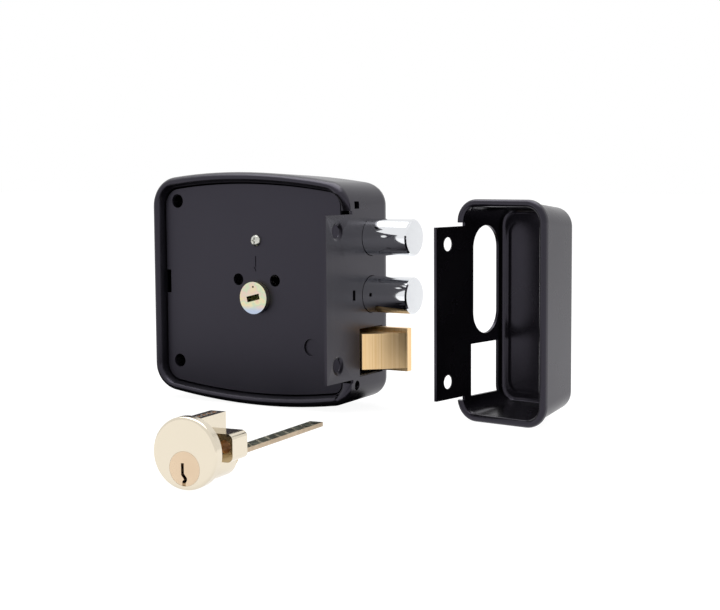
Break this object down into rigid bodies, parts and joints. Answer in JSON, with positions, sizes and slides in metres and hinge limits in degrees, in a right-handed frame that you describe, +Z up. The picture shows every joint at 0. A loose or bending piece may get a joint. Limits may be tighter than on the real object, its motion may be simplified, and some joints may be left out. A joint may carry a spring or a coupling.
{
  "type": "rim box lock",
  "caption": "Surface-mounted rim box lock with round thrown bolts, a spring latch, a box strike and a separate pin-tumbler rim cylinder.",
  "frame": {"origin": "where the forend's outer face, the plane of the back plate's outer face and the height of the hub's axis meet", "axes": "+X the way the bolts are thrown, +Y from the door into the room, +Z up"},
  "size_m": [0.2369, 0.2572, 0.1262],
  "materials": {
    "black_coat": "satin black powder coat",
    "grey_coat": "satin charcoal coat",
    "zinc": "bright zinc plating",
    "yellow_zinc": "iridescent yellow zinc plating",
    "steel": "plain steel",
    "chrome": "polished chrome",
    "brass": "polished brass"
  },
  "bodies": {
    "case": {"case_shell": "black_coat", "back_plate": "grey_coat", "plate_screw": "zinc", "guide_pillar": "zinc", "forend_stiffener": "steel", "fixing_tubes": "zinc", "spindle_bush": "brass", "latch_guide": "steel", "lever_post": "steel", "lever_clip": "steel", "strike_box": "black_coat", "cylinder_housing": "brass", "driver_pins": "brass", "chamber_springs": "steel", "chamber_plugs": "brass"},
    "bolts": {"upper_bolt": "chrome", "lower_bolt": "chrome", "bolt_carriage": "steel", "carriage_rivets": "steel"},
    "hub": {"spindle": "yellow_zinc", "pinion": "steel", "retractor_cam": "steel", "spindle_spacer": "steel", "spindle_clip": "steel", "turn_knob": "chrome", "knob_set_screw": "steel"},
    "latch": {"latch_bolt": "brass", "latch_tail": "steel", "tail_rivet": "steel", "lever_pin": "steel", "latch_spring": "steel"},
    "lever": {"latch_lever": "steel"},
    "plug": {"cylinder_plug": "brass", "key_pins": "brass", "plug_clip": "steel", "tailpiece": "steel", "tail_retainer": "brass"}
  },
  "joints": [
    {"name": "bolt_slide", "type": "slide", "parent": "case", "child": "bolts", "axis": [1, 0, 0], "range_m": [-0.0262, 0]},
    {"name": "hub_turn", "type": "hinge", "parent": "case", "child": "hub", "pos_m": [-0.06, 0.02, 0], "axis": [0, 1, 0], "range_deg": [0, 188]},
    {"name": "latch_slide", "type": "slide", "parent": "case", "child": "latch", "axis": [1, 0, 0], "range_m": [-0.0184, 0], "stiffness_N_per_m": 250, "springref_m": 0.012, "deforming": ["latch_spring"]},
    {"name": "lever_turn", "type": "hinge", "parent": "case", "child": "lever", "pos_m": [-0.08, 0.00625, -0.003], "axis": [0, 1, 0], "range_deg": [0, 42]},
    {"name": "plug_turn", "type": "hinge", "parent": "case", "child": "plug", "pos_m": [0.0414, -0.195, -0.04965], "axis": [-0.1028, 0.9947, 0], "continuous": true}
  ],
  "couplings": [
    {"joint": "hub_turn", "follows": "bolt_slide", "rad_per_m": -125},
    {"joint": "lever_turn", "follows": "latch_slide", "rad_per_m": -39.8}
  ]
}
